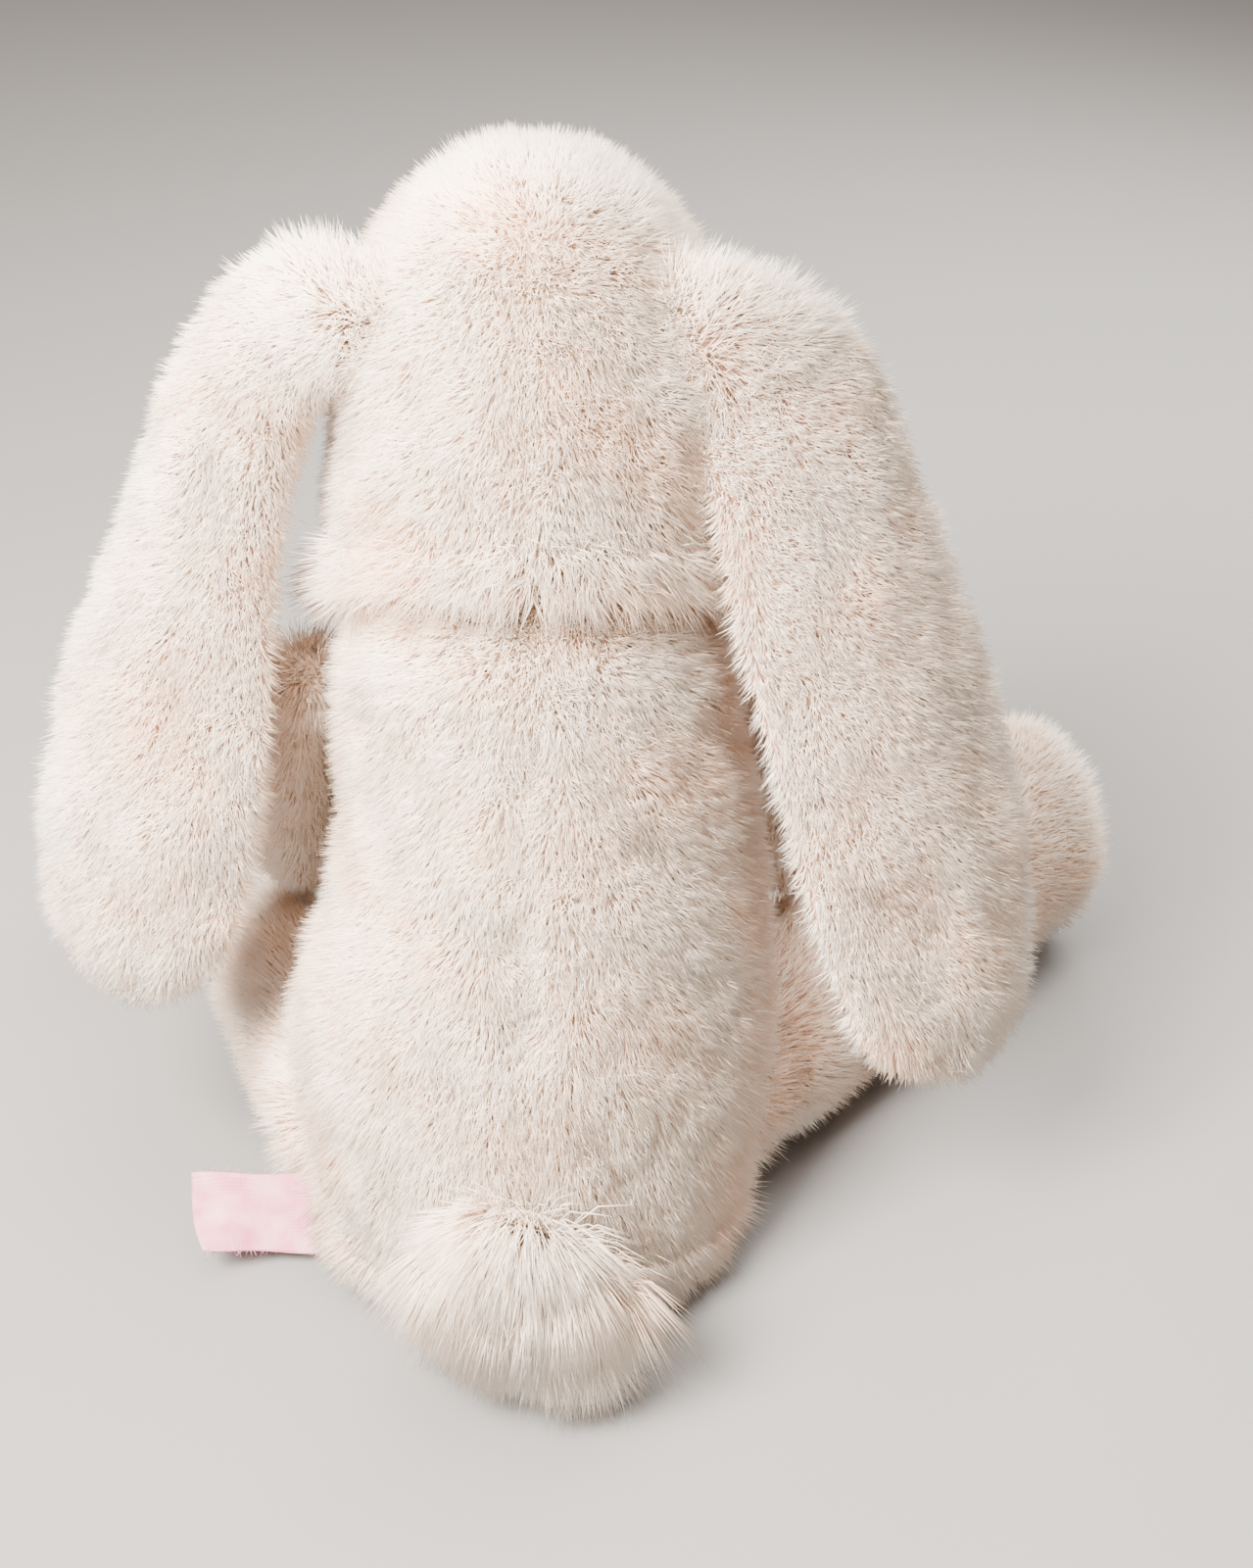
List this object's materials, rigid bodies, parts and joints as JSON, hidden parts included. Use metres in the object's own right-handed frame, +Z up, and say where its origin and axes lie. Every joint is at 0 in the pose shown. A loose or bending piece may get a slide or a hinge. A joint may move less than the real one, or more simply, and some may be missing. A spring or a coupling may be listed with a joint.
{
  "type": "stuffed bunny rabbit",
  "caption": "Seated plush lop-eared bunny with long hanging ears, splayed legs, a fluffy tail and a ribbon tag in its side seam.",
  "frame": {"origin": "on the flat underside of the seat, below the pelvis", "axes": "+Z up, the face looks along -Y, +X is the bunny's own left"},
  "size_m": [0.1987, 0.176, 0.1799],
  "materials": {
    "cream_plush": "cream-white synthetic pile about 6 mm long, longer on the tail",
    "peach_velour": "short peach velour",
    "fibrefill": "white polyester fibre stuffing",
    "pellet_pouch": "cotton pouch of plastic pellets",
    "black_bead": "glossy black",
    "white_washer": "moulded white",
    "pink_nose": "dusty pink satin stitch",
    "pink_ribbon": "pale pink woven satin ribbon, plain"
  },
  "bodies": {
    "trunk": {"seat_panel": "cream_plush", "back_left_panel": "cream_plush", "back_right_panel": "cream_plush", "belly_panel": "cream_plush", "body_stuffing": "fibrefill", "pellet_pouch": "pellet_pouch"},
    "head": {"head_left_panel": "cream_plush", "head_right_panel": "cream_plush", "head_gusset": "cream_plush", "head_stuffing": "fibrefill", "eye_left": "black_bead", "eye_right": "black_bead", "eye_washer_left": "white_washer", "eye_washer_right": "white_washer", "nose": "pink_nose"},
    "tail": {"tail_cover": "cream_plush", "tail_stuffing": "fibrefill"},
    "tag": {"seam_tag": "pink_ribbon"},
    "ear_left": {"ear_left_outer": "cream_plush", "ear_left_lining": "peach_velour"},
    "arm_left": {"arm_left_outer": "cream_plush", "arm_left_inner": "cream_plush", "arm_left_stuffing": "fibrefill"},
    "leg_left": {"leg_left_outer": "cream_plush", "leg_left_inner": "cream_plush", "leg_left_sole": "peach_velour", "leg_left_stuffing": "fibrefill"},
    "ear_right": {"ear_right_outer": "cream_plush", "ear_right_lining": "peach_velour"},
    "arm_right": {"arm_right_outer": "cream_plush", "arm_right_inner": "cream_plush", "arm_right_stuffing": "fibrefill"},
    "leg_right": {"leg_right_outer": "cream_plush", "leg_right_inner": "cream_plush", "leg_right_sole": "peach_velour", "leg_right_stuffing": "fibrefill"}
  },
  "joints": [
    {"name": "head_nod", "type": "hinge", "parent": "trunk", "child": "head", "pos_m": [0, -0.03347, 0.09091], "axis": [1, 0, 0], "range_deg": [-4, 14], "stiffness_Nm_per_rad": 0.4},
    {"name": "ear_left_lift", "type": "hinge", "parent": "head", "child": "ear_left", "pos_m": [0.0305, -0.04903, 0.16806], "axis": [0, -0.9063, -0.4226], "range_deg": [0, 70]},
    {"name": "ear_right_lift", "type": "hinge", "parent": "head", "child": "ear_right", "pos_m": [-0.031, -0.04631, 0.16933], "axis": [0, 0.9063, 0.4226], "range_deg": [0, 70]},
    {"name": "arm_left_swing", "type": "hinge", "parent": "trunk", "child": "arm_left", "pos_m": [0.0415, -0.04253, 0.08668], "axis": [-1, 0, 0], "range_deg": [0, 70], "stiffness_Nm_per_rad": 0.01},
    {"name": "arm_right_swing", "type": "hinge", "parent": "trunk", "child": "arm_right", "pos_m": [-0.0415, -0.04253, 0.08668], "axis": [-1, 0, 0], "range_deg": [0, 70], "stiffness_Nm_per_rad": 0.01},
    {"name": "leg_left_splay", "type": "hinge", "parent": "trunk", "child": "leg_left", "pos_m": [0.029, -0.02, 0.0185], "axis": [0, 0, 1], "range_deg": [-14, 24]},
    {"name": "leg_right_splay", "type": "hinge", "parent": "trunk", "child": "leg_right", "pos_m": [-0.029, -0.02, 0.0185], "axis": [0, 0, -1], "range_deg": [-34, 8]},
    {"name": "tail_wag", "type": "hinge", "parent": "trunk", "child": "tail", "pos_m": [0, 0.0335, 0.0205], "axis": [0, 0, 1], "range_deg": [-14, 14], "stiffness_Nm_per_rad": 0.01},
    {"name": "tag_flap", "type": "hinge", "parent": "trunk", "child": "tag", "pos_m": [0.0365, 0.009, 0.0075], "axis": [0, -0.7413, 0.6712], "range_deg": [0, 60]}
  ]
}
